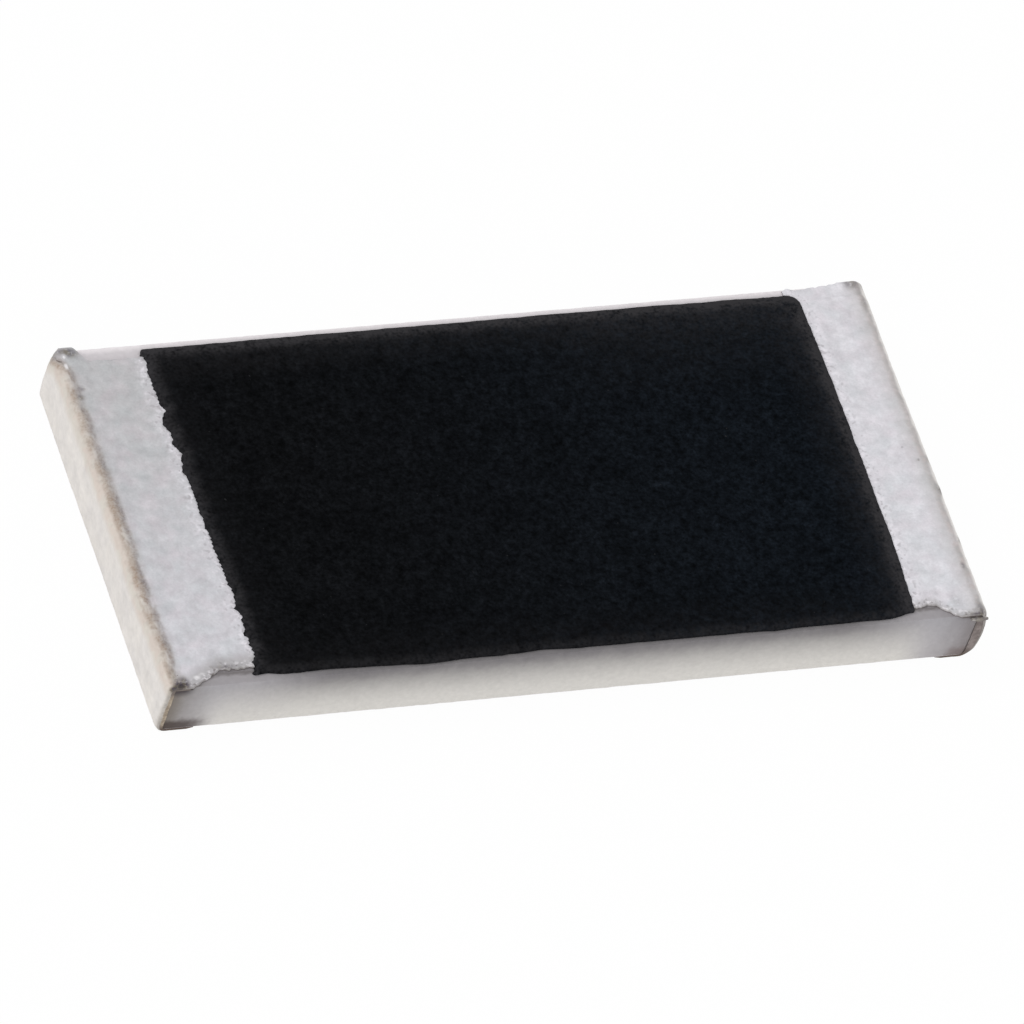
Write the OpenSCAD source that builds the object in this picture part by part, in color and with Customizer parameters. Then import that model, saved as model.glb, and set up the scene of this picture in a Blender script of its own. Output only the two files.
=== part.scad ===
// Thick film chip resistor of the 6.3 x 3.1 mm size, lying on its solder side.
// Each layer is a solid of its own, stacked as it is printed, fired, trimmed and plated.
// X runs along the chip, Y to its back long side and Z up; z = 0 is the solder plane.
// All sizes are millimetres.

/* [Ceramic body] */
// Length of the ceramic between its end faces
ceramic_l = 6.25; // [5.9:0.05:6.6]
// Width of the ceramic across its snapped side faces
ceramic_w = 3.12; // [3.04:0.02:3.4]
// Thickness of the ceramic
ceramic_t = 0.44; // [0.3:0.02:0.7]
// Radius of the upper edge at both end faces
brow_r = 0.03; // [0.01:0.005:0.06]
// Radius of the lower edge at the left end face
left_foot_r = 0.04; // [0.02:0.01:0.12]
// Radius of the lower edge at the right end face, worn rounder than the left
right_foot_r = 0.09; // [0.02:0.01:0.14]
// Depth of the scribed bevel along the long upper edges
scribe_h = 0.05; // [0.02:0.01:0.1]
// Width of the scribed bevel on the top face
scribe_w = 0.02; // [0.005:0.005:0.025]

/* [Electrodes] */
// Thickness of the two printed top electrodes
top_electrode_t = 0.01; // [0.006:0.002:0.02]
// Thickness of the two printed bottom electrodes
bottom_electrode_t = 0.01; // [0.006:0.002:0.02]
// Width of all four electrode prints
electrode_w = 2.82; // [2.7:0.02:2.9]
// Reach of a top electrode from the ceramic's end face
top_electrode_l = 0.95; // [0.85:0.05:1.4]
// Reach of a bottom electrode from the ceramic's end face
bottom_electrode_l = 0.5; // [0.4:0.05:0.8]
// Corner radius of the electrode prints
electrode_corner_r = 0.08; // [0.02:0.02:0.16]
// Length over which a top electrode's inner edge runs out
feather_l = 0.04; // [0.02:0.01:0.08]

/* [Resistor film and trim] */
// Thickness of the resistor film
film_t = 0.01; // [0.006:0.002:0.02]
// Width of the resistor film
film_w = 2.6; // [2.2:0.05:2.65]
// Length of film that lies on each top electrode
film_overlap = 0.15; // [0.08:0.01:0.18]
// Width of the laser trim cut
kerf_w = 0.05; // [0.03:0.01:0.08]
// Place of the trim cut's plunge, from the middle of the chip
kerf_x = -0.75; // [-1.2:0.05:-0.2]
// Depth of the plunge across the film, from its front edge
kerf_plunge = 1.05; // [0.4:0.05:1.6]
// Length of the trim cut's run along the film
kerf_run = 1.3; // [0.4:0.05:1.8]

/* [Glass and overcoat] */
// Thickness of the glass over the film
glass_t = 0.01; // [0.006:0.002:0.02]
// Rim of glass round the film
glass_rim = 0.06; // [0.03:0.01:0.07]
// Thickness of the black overcoat on the glass
coat_t = 0.025; // [0.015:0.005:0.05]
// Height of the overcoat's outer edge
coat_edge_h = 0.018; // [0.015:0.001:0.022]
// Width of the rounded shoulder inside the overcoat's edge
shoulder_w = 0.09; // [0.04:0.01:0.11]
// Bare left terminal at the back, from the ceramic's end face to the overcoat
left_land_back = 0.628; // [0.5:0.002:0.65]
// Bare left terminal at the front, where the print runs slightly askew
left_land_front = 0.69; // [0.5:0.005:0.7]
// Bare right terminal, from the ceramic's end face to the overcoat
right_land = 0.483; // [0.4:0.001:0.64]
// Bare ceramic between the overcoat and the front side face
front_margin = 0.052; // [0.03:0.002:0.07]
// Bare ceramic between the overcoat and the back side face
back_margin = 0.073; // [0.03:0.001:0.09]
// Radius of the overcoat's back right corner
coat_corner_r = 0.09; // [0.05:0.01:0.2]
// Size of the teeth along the overcoat's left edge, as a share of those in the photo
left_tooth = 1; // [0.2:0.1:1.2]
// Height of the teeth along the overcoat's right edge
right_tooth = 0.008; // [0.002:0.002:0.02]
// Waviness of the overcoat's two long edges
long_wave = 0.006; // [0.002:0.001:0.01]

/* [Terminations] */
// Thickness of the end termination that joins top and bottom electrodes
paste_t = 0.012; // [0.008:0.002:0.03]
// Thickness of the nickel barrier
nickel_t = 0.006; // [0.004:0.001:0.012]
// Thickness of the tin plating
tin_t = 0.007; // [0.004:0.001:0.012]
// Reach of the end termination over the top, from the ceramic's end face
lip_top = 0.36; // [0.2:0.01:0.4]
// Length over which the lip covers the ceramic's full width, before it tapers to the print
lip_full = 0.17; // [0.08:0.01:0.19]
// Reach of the end termination under the bottom
lip_bottom = 0.26; // [0.24:0.01:0.36]
// Length over which the bottom lip thins out
lip_feather = 0.05; // [0.02:0.01:0.08]

/* [Hidden] */

LEFT = -1;
RIGHT = 1;

// Levels of the stack, from the solder plane up
plating_t = nickel_t + tin_t;
ceramic_z0 = bottom_electrode_t + paste_t + plating_t;
ceramic_z1 = ceramic_z0 + ceramic_t;
ceramic_mid_z = ceramic_z0 + ceramic_t / 2;
electrode_z1 = ceramic_z1 + top_electrode_t;
glass_z1 = ceramic_z1 + film_t + glass_t;
coat_z1 = glass_z1 + coat_t;
sky_z = coat_z1 + top_electrode_t + 0.1;

// Places along and across the chip
end_x = ceramic_l / 2;
side_y = ceramic_w / 2;
electrode_in_x = end_x - top_electrode_l;
film_x = electrode_in_x + film_overlap;
glass_x = film_x + glass_rim;
glass_y = film_w / 2 + glass_rim;
coat_back_left_x = -end_x + left_land_back;
coat_front_left_x = -end_x + left_land_front;
coat_right_x = end_x - right_land;
coat_front_y = -side_y + front_margin;
coat_back_y = side_y - back_margin;

ARC_STEPS = 8;
SHOULDER_STEPS = 4;
LEFT_POINTS = 74;
RIGHT_POINTS = 24;
LONG_POINTS = 26;

function mix(a, b, t) = a + (b - a) * t;

// Points of an arc round a centre, between two angles
function arc(centre, r, from, to) = [
    for (i = [0 : ARC_STEPS])
        let (a = mix(from, to, i / ARC_STEPS))
        centre + r * [cos(a), sin(a)]
];

// Teeth of the overcoat's left edge: place in Y, reach to the right, half width
LEFT_TEETH = [
    [1.36, 0.014, 0.06], [1.26, -0.007, 0.03], [0.92, 0.024, 0.03], [0.8, -0.032, 0.07],
    [0.61, -0.018, 0.03], [0.51, 0.024, 0.035], [0.36, -0.022, 0.05], [-0.01, -0.009, 0.05],
    [-0.155, -0.012, 0.025], [-0.36, -0.008, 0.04], [-0.76, 0.016, 0.07],
    [-0.895, -0.02, 0.025], [-0.97, 0.014, 0.025], [-1.13, -0.026, 0.025],
    [-1.23, -0.008, 0.02], [-1.41, -0.03, 0.05], [-1.495, -0.05, 0.05]
];

function clamp(value) = min(1, max(0, value));

// Sum of the blunt teeth of an edge at y, from the tooth with this number on
function teeth(y, marks, first = 0) =
    first == len(marks) ? 0 :
    marks[first][1] * clamp(1.2 - abs(y - marks[first][0]) / marks[first][2])
    + teeth(y, marks, first + 1);

// Irregular wave between about -1 and 1 along an edge, where t runs from 0 to 1
function ripple(t, phase) =
    0.45 * sin(360 * 6.3 * t + phase)
    + 0.35 * sin(360 * 13.7 * t + 2.6 * phase)
    + 0.2 * sin(360 * 19.4 * t + 4.3 * phase);

function foot_r(side) = side == LEFT ? left_foot_r : right_foot_r;

// Extrudes a shape drawn in X and Z along Y, to both sides of the middle
module along_y(half) {
    rotate([90, 0, 0])
        linear_extrude(height = 2 * half, center = true)
            children();
}

// Extrudes a shape drawn in Y and Z along X, to both sides of the middle
module along_x(half) {
    rotate([90, 0, 90])
        linear_extrude(height = 2 * half, center = true)
            children();
}

// Puts what is drawn inwards from a left end face, at u = 0, on either end of the chip
module at_end(side) {
    mirror([side == RIGHT ? 1 : 0, 0, 0])
        translate([-end_x, 0, 0])
            children();
}

// Side view of the ceramic, with a rounder foot at the right end
module ceramic_side_view() {
    polygon(concat(
        arc([-end_x + brow_r, ceramic_z1 - brow_r], brow_r, 90, 180),
        arc([-end_x + left_foot_r, ceramic_z0 + left_foot_r], left_foot_r, 180, 270),
        arc([end_x - right_foot_r, ceramic_z0 + right_foot_r], right_foot_r, 270, 360),
        arc([end_x - brow_r, ceramic_z1 - brow_r], brow_r, 0, 90)
    ));
}

// End view of the ceramic, bevelled where the plate was scribed before snapping
module ceramic_end_view() {
    polygon([
        [-side_y, ceramic_z0],
        [side_y, ceramic_z0],
        [side_y, ceramic_z1 - scribe_h],
        [side_y - scribe_w, ceramic_z1],
        [-side_y + scribe_w, ceramic_z1],
        [-side_y, ceramic_z1 - scribe_h]
    ]);
}

module ceramic_block() {
    intersection() {
        along_y(side_y) ceramic_side_view();
        along_x(end_x) ceramic_end_view();
    }
}

// Plan of an electrode print that starts at start and reaches to reach, grown by grow
module print_plan(start, reach, grow) {
    half = electrode_w / 2 + grow;
    r = electrode_corner_r + grow;
    in = reach + grow;
    polygon(concat(
        [[start, -half]],
        arc([in - r, -half + r], r, 270, 360),
        arc([in - r, half - r], r, 0, 90),
        [[start, half]]
    ));
}

// Top electrode in end coordinates, thinning out at its inner edge
module top_print() {
    intersection() {
        translate([0, 0, ceramic_z1])
            linear_extrude(height = top_electrode_t)
                print_plan(brow_r, top_electrode_l, 0);
        along_y(electrode_w)
            polygon([
                [0, ceramic_mid_z],
                [top_electrode_l, ceramic_mid_z],
                [top_electrode_l, ceramic_z1 + top_electrode_t / 5],
                [top_electrode_l - feather_l, electrode_z1],
                [0, electrode_z1]
            ]);
    }
}

// Bottom electrode in end coordinates
module bottom_print(side) {
    translate([0, 0, ceramic_z0 - bottom_electrode_t])
        linear_extrude(height = bottom_electrode_t)
            print_plan(foot_r(side), bottom_electrode_l, 0);
}

// Side view of the wrap round one end: the end termination with a plating of thickness e
// on it, raised by up and down where it lies on the electrodes
module wrap_side_view(side, e, up, down) {
    foot = foot_r(side);
    top_z = ceramic_z1 + up;
    base_z = ceramic_z0 - down;
    skin = paste_t + e;
    polygon(concat(
        [[lip_top + e, ceramic_mid_z]],
        e > 0 ? [[lip_top + e, top_z + e]] : [],
        [[lip_top, top_z + e]],
        arc([brow_r, top_z - brow_r], brow_r + skin, 90, 180),
        arc([foot, base_z + foot], foot + skin, 180, 270),
        [[lip_bottom - lip_feather, base_z - skin]],
        [[lip_bottom, base_z - e]],
        e > 0 ? [[lip_bottom + e, base_z - e]] : [],
        [[lip_bottom + e, ceramic_mid_z]]
    ));
}

// Keeps the wrap inside the chip's width and parallel to the scribed bevels
module flank_view(e) {
    bevel_z = ceramic_z1 + paste_t + e;
    polygon([
        [-side_y, -sky_z],
        [side_y, -sky_z],
        [side_y, bevel_z - scribe_h],
        [side_y - scribe_w, bevel_z],
        [side_y - scribe_w, sky_z],
        [-side_y + scribe_w, sky_z],
        [-side_y + scribe_w, bevel_z],
        [-side_y, bevel_z - scribe_h]
    ]);
}

// Corners that the lip leaves bare on the top, where it tapers to the width of the print
module lip_corners(e) {
    half = electrode_w / 2 + paste_t;
    run = [lip_top - lip_full, half - side_y];
    way = run / norm(run);
    out = [-way[1], way[0]];
    start = [lip_full, side_y] + e * out - 0.3 * way;
    turn = [lip_top, half] + e * out + e * (1 - out[1]) / way[1] * way;
    far = lip_top + 0.2;
    for (back = [0, 1])
        mirror([0, back])
            polygon([
                start,
                turn,
                [far, half + e],
                [far, side_y + 0.3],
                [start[0], side_y + 0.3]
            ]);
}

// Everything under the outer face of the wrap, the ceramic and electrodes included
module wrapped(side, e) {
    difference() {
        intersection() {
            union() {
                along_y(side_y) wrap_side_view(side, e, 0, 0);
                along_y(electrode_w / 2 + paste_t + e)
                    wrap_side_view(side, e, top_electrode_t, bottom_electrode_t);
            }
            along_x(end_x) flank_view(e);
        }
        translate([0, 0, ceramic_mid_z])
            linear_extrude(height = sky_z - ceramic_mid_z)
                lip_corners(e);
    }
}

// Everything under the outer face of a plating of thickness e, which covers the wrap
// and what the overcoat leaves bare of the prints
module plated(side, e) {
    wrapped(side, e);
    translate([0, 0, ceramic_mid_z])
        linear_extrude(height = electrode_z1 + e - ceramic_mid_z)
            print_plan(brow_r, top_electrode_l, e);
    translate([0, 0, ceramic_z0 - bottom_electrode_t - e])
        linear_extrude(height = ceramic_mid_z - ceramic_z0 + bottom_electrode_t + e)
            print_plan(foot_r(side), bottom_electrode_l, e);
}

// Upper outline of a layer that rises from the film to the electrodes, seen from the side
function stepped(reach, low_z) = [
    [reach, low_z + top_electrode_t],
    [electrode_in_x + feather_l, low_z + top_electrode_t],
    [electrode_in_x, low_z],
    [-electrode_in_x, low_z],
    [-electrode_in_x - feather_l, low_z + top_electrode_t],
    [-reach, low_z + top_electrode_t]
];

// Layer between the ceramic and its stepped top face, before what lies under it is taken off
module stepped_layer(reach, half, low_z) {
    along_y(half)
        polygon(concat(
            [[-reach, ceramic_z1], [reach, ceramic_z1]],
            stepped(reach, low_z)
        ));
}

// The laser cut: a plunge from outside the glass, then a run along the film
module kerf_plan() {
    film_front_y = -film_w / 2;
    turn_y = film_front_y + kerf_plunge;
    start_y = film_front_y - 2 * glass_rim;
    translate([kerf_x - kerf_w / 2, start_y])
        square([kerf_w, turn_y - start_y]);
    translate([kerf_x - kerf_w / 2, turn_y - kerf_w / 2])
        square([kerf_run + kerf_w / 2, kerf_w]);
    translate([kerf_x - kerf_w / 2 + kerf_run + kerf_w / 2, turn_y])
        circle(d = kerf_w, $fn = 24);
}

module kerf() {
    translate([0, 0, ceramic_mid_z])
        linear_extrude(height = sky_z - ceramic_mid_z)
            kerf_plan();
}

// Outline of the overcoat: toothed at the left, nearly straight at the right
function coat_left_edge() = [
    for (i = [0 : LEFT_POINTS])
        let (t = i / LEFT_POINTS)
        let (y = mix(coat_back_y, coat_front_y, t))
        let (saw = 0.005 * ripple(t, 20))
        [mix(coat_back_left_x, coat_front_left_x, t) + left_tooth * (teeth(y, LEFT_TEETH) + saw),
         y]
];
function coat_front_edge() = [
    for (i = [1 : LONG_POINTS - 1])
        let (t = i / LONG_POINTS)
        [mix(coat_front_left_x, coat_right_x, t), coat_front_y + long_wave * ripple(t, 75)]
];
function coat_right_edge() = [
    for (i = [0 : RIGHT_POINTS])
        let (t = i / RIGHT_POINTS)
        [coat_right_x + right_tooth * ripple(t, 140),
         mix(coat_front_y, coat_back_y - coat_corner_r, t)]
];
function coat_back_edge() = [
    for (i = [1 : LONG_POINTS - 1])
        let (t = i / LONG_POINTS)
        [mix(coat_right_x - coat_corner_r, coat_back_left_x, t),
         coat_back_y + long_wave * ripple(t, 200)]
];

module coat_plan() {
    polygon(concat(
        coat_left_edge(),
        coat_front_edge(),
        coat_right_edge(),
        arc([coat_right_x - coat_corner_r, coat_back_y - coat_corner_r], coat_corner_r, 10, 90),
        coat_back_edge()
    ));
}

module coat_column() {
    translate([0, 0, ceramic_z1])
        linear_extrude(height = sky_z - ceramic_z1)
            coat_plan();
}

// Rounded shoulder from a low edge up to the full height; way is 1 where inwards is positive
function shoulder(edge, way, low_z, high_z) = [
    for (i = [0 : SHOULDER_STEPS])
        let (a = 90 * i / SHOULDER_STEPS)
        [edge + way * shoulder_w * (1 - cos(a)), mix(low_z, high_z, sin(a))]
];
function turned(points) = [for (i = [len(points) - 1 : -1 : 0]) points[i]];

// Side view of the overcoat: shoulders at its ends and a dip between the electrodes
module coat_side_view() {
    left_x = min(coat_back_left_x, coat_front_left_x) - 0.04 * left_tooth;
    right_x = coat_right_x + right_tooth;
    edge_z = electrode_z1 + coat_edge_h;
    high_z = coat_z1 + top_electrode_t;
    polygon(concat(
        [[left_x, ceramic_z1], [right_x, ceramic_z1]],
        shoulder(right_x, -1, edge_z, high_z),
        [
            [electrode_in_x + feather_l, high_z],
            [electrode_in_x - feather_l, coat_z1],
            [-electrode_in_x + feather_l, coat_z1],
            [-electrode_in_x - feather_l, high_z]
        ],
        turned(shoulder(left_x, 1, edge_z, high_z))
    ));
}

// End view of the overcoat: shoulders along its two long edges
module coat_end_view() {
    front_y = coat_front_y - long_wave;
    back_y = coat_back_y + long_wave;
    edge_z = ceramic_z1 + coat_edge_h;
    high_z = coat_z1 + top_electrode_t;
    polygon(concat(
        [[front_y, ceramic_z1], [back_y, ceramic_z1]],
        shoulder(back_y, -1, edge_z, high_z),
        turned(shoulder(front_y, 1, edge_z, high_z))
    ));
}

module substrate() {
    color("#e4e1dc") ceramic_block();
}

module top_electrode(side) {
    color("#b9b4aa") at_end(side) top_print();
}

module bottom_electrode(side) {
    color("#b9b4aa") at_end(side) bottom_print(side);
}

module top_electrodes() {
    top_electrode(LEFT);
    top_electrode(RIGHT);
}

module resistor_film() {
    color("#2b2b30")
        difference() {
            stepped_layer(film_x, film_w / 2, ceramic_z1 + film_t);
            top_electrodes();
            kerf();
        }
}

module glass_coat() {
    color("#6c7a6a", 0.8)
        difference() {
            stepped_layer(glass_x, glass_y, glass_z1);
            stepped_layer(film_x, film_w / 2, ceramic_z1 + film_t);
            top_electrodes();
            kerf();
        }
}

module overcoat() {
    color("#12161a")
        difference() {
            intersection() {
                coat_column();
                along_y(side_y) coat_side_view();
                along_x(end_x) coat_end_view();
            }
            top_electrodes();
            resistor_film();
            glass_coat();
        }
}

module end_termination(side) {
    color("#a8a39a")
        difference() {
            at_end(side) wrapped(side, 0);
            ceramic_block();
            top_electrode(side);
            bottom_electrode(side);
        }
}

module nickel_barrier(side) {
    color("#8f9092")
        difference() {
            at_end(side) plated(side, nickel_t);
            at_end(side) wrapped(side, 0);
            ceramic_block();
            top_electrode(side);
            bottom_electrode(side);
            coat_column();
        }
}

module tin_plating(side) {
    color("#c4c3c8")
        difference() {
            at_end(side) plated(side, plating_t);
            at_end(side) plated(side, nickel_t);
            ceramic_block();
            coat_column();
        }
}

substrate();
top_electrode(LEFT);  // left_top_electrode
top_electrode(RIGHT);  // right_top_electrode
bottom_electrode(LEFT);  // left_bottom_electrode
bottom_electrode(RIGHT);  // right_bottom_electrode
resistor_film();
glass_coat();
overcoat();
end_termination(LEFT);  // left_end_termination
end_termination(RIGHT);  // right_end_termination
nickel_barrier(LEFT);  // left_nickel_barrier
nickel_barrier(RIGHT);  // right_nickel_barrier
tin_plating(LEFT);  // left_tin_plating
tin_plating(RIGHT);  // right_tin_plating
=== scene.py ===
# Looks of a thick film chip resistor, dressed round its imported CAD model.
# Lengths in the builders are millimetres in the frame of the CAD: X along the chip, Y to its
# back long side, Z up. MM turns them into metres for Blender.

import math

import bmesh
import bpy
import numpy as np
from mathutils import Matrix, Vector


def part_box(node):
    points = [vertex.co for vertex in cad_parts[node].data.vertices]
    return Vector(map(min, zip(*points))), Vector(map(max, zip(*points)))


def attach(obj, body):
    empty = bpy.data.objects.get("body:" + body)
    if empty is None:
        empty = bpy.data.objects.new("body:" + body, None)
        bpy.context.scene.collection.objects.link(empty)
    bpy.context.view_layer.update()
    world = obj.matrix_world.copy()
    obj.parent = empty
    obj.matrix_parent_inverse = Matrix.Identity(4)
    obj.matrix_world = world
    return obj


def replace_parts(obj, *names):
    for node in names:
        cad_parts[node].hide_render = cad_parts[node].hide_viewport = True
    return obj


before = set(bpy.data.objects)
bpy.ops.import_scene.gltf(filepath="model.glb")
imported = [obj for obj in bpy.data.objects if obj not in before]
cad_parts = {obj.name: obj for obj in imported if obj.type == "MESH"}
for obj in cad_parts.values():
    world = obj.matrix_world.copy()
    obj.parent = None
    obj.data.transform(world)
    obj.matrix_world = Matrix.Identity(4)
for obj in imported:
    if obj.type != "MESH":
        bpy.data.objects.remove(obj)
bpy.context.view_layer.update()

MM = 0.001
LEFT = -1
RIGHT = 1


def span(node):
    """Lowest and highest corner of a CAD node, in millimetres."""
    low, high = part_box(node)
    return np.array(low) / MM, np.array(high) / MM


def by_corner(left_front, left_back, right_front, right_back):
    """A value for each of the four corners of the chip, seen from above."""
    return {
        (LEFT, "front"): left_front, (LEFT, "back"): left_back,
        (RIGHT, "front"): right_front, (RIGHT, "back"): right_back,
    }


# Sizes taken from the frame
(_, _, CERAMIC_Z0), (END_X, SIDE_Y, CERAMIC_Z1) = span("substrate")
TOP_PRINT_IN, PRINT_HALF, PRINT_TOP_Z = span("left_top_electrode")[1] * (-1, 1, 1)
PRINT_T = PRINT_TOP_Z - CERAMIC_Z1
(_, _, PRINT_BASE_Z), (LOW_PRINT_IN, _, _) = span("left_bottom_electrode")
BOTTOM_REACH = END_X + LOW_PRINT_IN
SKIN_T = span("right_tin_plating")[1][0] - END_X
PASTE_T = span("right_end_termination")[1][0] - END_X
NICKEL_T = span("right_nickel_barrier")[1][0] - END_X - PASTE_T
PLATING_T = SKIN_T - PASTE_T
GLASS_HIGH = span("glass_coat")[1]
COAT_TOP_Z = span("overcoat")[1][2] - PRINT_T

# Sizes of the ceramic that its box doesn't give
BROW_R = 0.03
FOOT_R = {LEFT: 0.04, RIGHT: 0.078}
SCRIBE_H = 0.05
SCRIBE_W = 0.02

# Sizes of the wraps round the two ends, inwards from the ceramic's end face
LIP = 0.36
LOWER_LIP = 0.26
LOWER_FEATHER = 0.05
LOWER_FLARE = 0.03
UNDER_COAT = 0.006
PRINT_SLOPE = 0.025
CORNER_EASE = 0.01
CORNER_R = by_corner(0.055, 0.09, 0.075, 0.032)
END_OUT = {LEFT: 0.006, RIGHT: 0.015}
END_BULGE = {LEFT: 0.008, RIGHT: 0.034}

# The burr on the right front corner
BURR_IN = 0.1
BURR_LENGTH = 0.132
BURR_R = 0.025
BURR_BELOW = 0.016

# Half width of each plated print, where it starts to flare and where it is fully out
PLATED_HALF = PRINT_HALF + PLATING_T
PRINT_EDGE = by_corner(PLATED_HALF, PLATED_HALF, PLATED_HALF + 0.008, 1.535)
FLARE_IN = by_corner(0.385, 0.23, 0.34, 0.3)
FLARE_OUT = by_corner(0.16, 0.14, 0.18, 0.16)

# Lumps, pits and stains of the plating, some of the dark ones a painted shadow by the front
# edge: place along Y, distance from the brow (inwards on the top), half length of both, height,
# and how dark; a darkness below 0 is a painted highlight
LEFT_BLEMISHES = [
    (1.5, 0.12, 0.06, 0.07, 0.008, 0.65), (1.52, 0.05, 0.04, 0.05, 0.004, 0.35),
    (1.56, 0, 0.05, 0.05, -0.02, 0.15), (1.5, -0.03, 0.07, 0.05, 0, 0.25),
    (1.47, 0.06, 0.02, 0.015, 0.004, -0.9), (1.38, 0.05, 0.03, 0.014, 0.003, -0.6),
    (1.17, 0.11, 0.03, 0.04, -0.005, 0.5), (1.09, 0.08, 0.03, 0.035, -0.005, 0.6),
    (0.98, 0.06, 0.05, 0.02, 0, 0.45), (0.56, 0.06, 0.09, 0.025, 0, 0.3),
    (-0.58, 0.06, 0.05, 0.025, 0, 0.35), (-1.15, 0.07, 0.08, 0.025, 0, 0.35),
    (-1.51, 0.11, 0.035, 0.05, -0.002, 0.65), (-1.56, 0.045, 0.028, 0.05, 0, 1.05),
    (-1.47, 0.12, 0.035, 0.025, 0, 0.4), (-1.53, 0.08, 0.03, 0.03, 0, 0.4),
    (-1.44, 0.05, 0.1, 0.035, 0, 0.42), (-1.545, 0.1, 0.03, 0.07, 0, 0.45),
    (-1.56, -0.01, 0.03, 0.03, 0, 0.6),
    (-1.47, 0.22, 0.02, 0.03, 0.006, -0.45), (-1.44, 0.27, 0.015, 0.03, 0.004, -0.3),
    (-1.4, 0.47, 0.018, 0.12, -0.002, 0.42), (-1.36, 0.42, 0.06, 0.14, 0, 0.22),
]
RIGHT_BLEMISHES = [
    (0, 0.156, 0.012, 0.012, -0.002, 0.5), (-0.13, 0.07, 0.015, 0.014, -0.003, 0.55),
    (-0.12, 0, 0.05, 0.02, 0.002, 0.5), (-0.41, 0, 0.06, 0.03, 0.006, 0.6),
    (-0.88, -0.01, 0.05, 0.03, 0.003, 0.5), (-1.11, 0.04, 0.04, 0.02, 0, 0.4),
    (1.54, 0.07, 0.07, 0.07, 0, 0.6), (1.35, 0.02, 0.12, 0.04, 0, 0.4),
    (-1.27, 0.05, 0.2, 0.04, 0, 0.22), (-1.47, 0.25, 0.02, 0.025, 0.006, -0.3),
    (-1.5, 0.19, 0.02, 0.02, 0.006, -0.3), (-1.52, 0.15, 0.015, 0.015, 0.006, -0.4),
    (-1.41, 0.2, 0.08, 0.06, 0, 0.34), (-1.5, 0.01, 0.08, 0.05, 0, 0.5),
    (-1.55, 0.09, 0.03, 0.1, 0, 0.55),
]

# Coat outline: straight lines, then teeth as (place along the edge, reach, half width)
COAT_LEFT_BACK = -2.497
COAT_LEFT_FRONT = -2.435
COAT_RIGHT = 2.642
COAT_FRONT = -1.508
COAT_BACK = 1.487
COAT_SHOULDER = 0.09
COAT_EDGE_H = 0.018
COAT_PULL = 0.35
COAT_CORNER = by_corner(0.012, 0.03, 0.012, 0.09)
SAW_PITCH = 0.047
SAW_REACH = 0.005
RIGHT_BOW = {"back": 0.016, "front": 0.03}
BOW_HALF_Y = 1.45
BACK_SAG = 0.012
LEFT_TEETH = [
    (1.36, 0.014, 0.06), (1.26, -0.007, 0.03), (0.92, 0.024, 0.03), (0.8, -0.032, 0.07),
    (0.61, -0.018, 0.03), (0.51, 0.024, 0.035), (0.36, -0.022, 0.05), (-0.01, -0.009, 0.05),
    (-0.155, -0.012, 0.025), (-0.36, -0.008, 0.04), (-0.76, 0.016, 0.07),
    (-0.895, -0.02, 0.025), (-0.97, 0.014, 0.025), (-1.13, -0.026, 0.025),
    (-1.23, -0.008, 0.02), (-1.41, -0.03, 0.05), (-1.495, -0.05, 0.05),
]
FRONT_SWELLS = [
    (-2.4, 0.03, 0.12), (-1.95, 0.018, 0.3), (-1.15, -0.012, 0.2), (-0.25, 0.014, 0.15),
    (1.5, -0.012, 0.12), (2.64, 0.036, 0.13),
]
# Greyer fringe where the coat thins out along each side: how strong, how wide, and how
# strong the faint haze is that goes on further in
COAT_FRINGE = {
    "left": (0.6, 0.12, 0.07), "right": (1.0, 0.15, 0.24),
    "front": (0.26, 0.09, 0.08), "back": (0.95, 0.15, 0.22),
}
HAZE_REACH = 0.42
BACK_HAZE = 0.13

# Distance between the lines of each mesh
TIN_SPACING = 0.0105
LAYER_SPACING = 0.05
COAT_SPACING_X = 0.055
COAT_SPACING_Y = 0.0095
CERAMIC_SPACING = 0.025

# Angles in degrees from which an edge of each mesh is shaded as sharp
WRAP_SHARP = 60
COAT_SHARP = 45
CERAMIC_SHARP = 40

# What the tin's material reads as far from the coat, and on the walls of the metal
FAR = 0.5
ON_WALL = -0.01

# Camera that the photograph was taken from
CAMERA_AZIMUTH = -32.896
CAMERA_ELEVATION = 48.49
CAMERA_ROLL = 20.729
CAMERA_DISTANCE = 116.69
CAMERA_SHIFT = (-0.0147, -0.0956)
CAMERA_LENS = 569.09
CAMERA_SENSOR = 36
LOOK_AT_Z = 0.3

# Light: level of the sky, and each soft box as azimuth, elevation, level and size; these
# sizes and those of the floor are in metres
SKY_LEVEL = 0.76
LAMPS = {"key_lamp": (-115, 45, 0.25, 0.12), "front_lamp": (-20, 18, 0.2, 0.12)}
LAMP_DISTANCE = 0.3
FLOOR_HALF = 0.4
FLOOR_GREY = (0.9, 0.9, 0.9, 1)
WHITE = (1, 1, 1, 1)
FLOOR_GLOW = 0.97

# Large primes that scramble a lattice cell and a seed into a random number
PRIME_X = 73856093
PRIME_Y = 19349663
PRIME_SEED = 83492791
PRIME_MIX = 1274126177


def smooth(low, high, value):
    """Smooth step from 0 at low to 1 at high."""
    t = np.clip((value - low) / (high - low), 0, 1)
    return t * t * (3 - 2 * t)


def chance(ix, iy, seed):
    """Random number from 0 to 1 for each cell of a lattice."""
    n = ix.astype(np.int64) * PRIME_X ^ iy.astype(np.int64) * PRIME_Y ^ seed * PRIME_SEED
    n = (n ^ (n >> 13)) * PRIME_MIX & 0x7FFFFFFF
    n = n ^ (n >> 15)
    return (n & 0xFFFF) / 0xFFFF


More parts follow.
